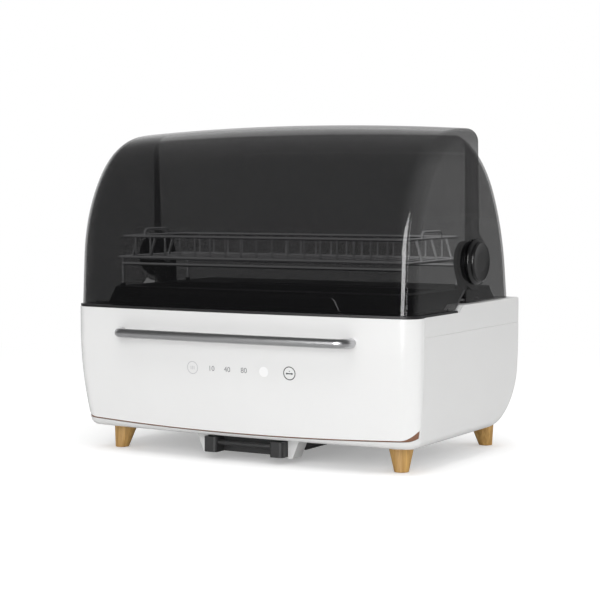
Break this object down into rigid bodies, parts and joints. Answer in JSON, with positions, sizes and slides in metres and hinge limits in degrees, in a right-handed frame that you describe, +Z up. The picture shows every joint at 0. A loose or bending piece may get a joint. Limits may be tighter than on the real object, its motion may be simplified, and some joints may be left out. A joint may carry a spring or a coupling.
{
  "type": "dish drying sterilizer",
  "caption": "Countertop dish drying sterilizer with a smoked swing-up hood, wire dish rack, white pull-out drawer with a steel bar handle, drip tray and tapered wooden feet.",
  "frame": {"origin": "middle of the bounding box, on the surface it stands on", "axes": "+X to the right seen from the front, +Y to the back, +Z up"},
  "size_m": [0.48, 0.3285, 0.4007],
  "materials": {
    "panel_white": "glossy white",
    "body_white": "satin white",
    "black_plastic": "satin black",
    "dark_hub": "glossy dark grey",
    "smoked": "smoked clear plastic",
    "wood": "light oiled wood",
    "steel": "brushed",
    "wire": "polished",
    "zinc": "zinc plated",
    "copper_line": "brown metallic",
    "grey_rubber": "matte",
    "tray_grey": "matte light grey",
    "board_green": "solder mask",
    "dark_motor": "matte",
    "alloy": "plain",
    "lamp_glass": "clear",
    "ceramic": "matte",
    "hose_rubber": "translucent grey"
  },
  "bodies": {
    "base": {"lower_body": "body_white", "collar": "body_white", "deck_apron": "black_plastic", "deck": "black_plastic", "basin_pan": "black_plastic", "tray_housing": "black_plastic", "foot_front_left": "wood", "foot_front_right": "wood", "foot_rear_left": "wood", "foot_rear_right": "wood", "foot_pads": "grey_rubber", "foot_screws": "zinc", "body_screws": "zinc", "cover_shell": "smoked", "cover_screws": "zinc", "hinge_post_left": "black_plastic", "hinge_post_right": "black_plastic", "hub_spacers": "black_plastic", "hinge_pin_left": "steel", "hinge_pin_right": "steel", "hinge_screws": "zinc", "hub_washers": "steel", "runners": "zinc", "runner_screws": "zinc", "power_inlet": "dark_motor", "power_board": "board_green", "board_screws": "zinc", "air_duct": "black_plastic", "duct_screws": "zinc", "heater": "alloy", "fan_frame": "dark_motor", "fan_motor": "steel", "uv_lamp": "lamp_glass", "lamp_holders": "ceramic", "drain_hose": "hose_rubber", "housing_screws": "zinc"},
    "hood": {"hood_shell": "smoked", "hub_cap_left": "dark_hub", "hub_cap_right": "dark_hub", "hub_bushes": "ceramic", "rest_pads": "grey_rubber"},
    "drawer": {"drawer_front": "panel_white", "trim_strip": "copper_line", "handle": "steel", "handle_screws": "zinc", "back_plate": "tray_grey", "drawer_box": "tray_grey", "drawer_screws": "zinc", "slide_bars": "zinc", "control_board": "board_green", "control_screws": "zinc"},
    "drip_tray_body": {"drip_tray": "black_plastic"},
    "fan_rotor_body": {"fan_rotor": "dark_motor"},
    "dish_rack_body": {"dish_rack": "wire", "rack_feet": "grey_rubber"}
  },
  "joints": [
    {"name": "hood_hinge", "type": "hinge", "parent": "base", "child": "hood", "pos_m": [0, 0.03425, 0.236], "axis": [-1, 0, 0], "range_deg": [0, 95]},
    {"name": "drawer_slide", "type": "slide", "parent": "base", "child": "drawer", "axis": [0, -1, 0], "range_m": [0, 0.17]},
    {"name": "drip_tray_slide", "type": "slide", "parent": "base", "child": "drip_tray_body", "axis": [0, -1, 0], "range_m": [0, 0.12]},
    {"name": "fan_spin", "type": "hinge", "parent": "base", "child": "fan_rotor_body", "pos_m": [0, 0.09975, 0.16], "axis": [0, 0, 1], "continuous": true},
    {"name": "rack_lift", "type": "slide", "parent": "base", "child": "dish_rack_body", "axis": [0, 0, 1], "range_m": [0, 0.06]}
  ]
}
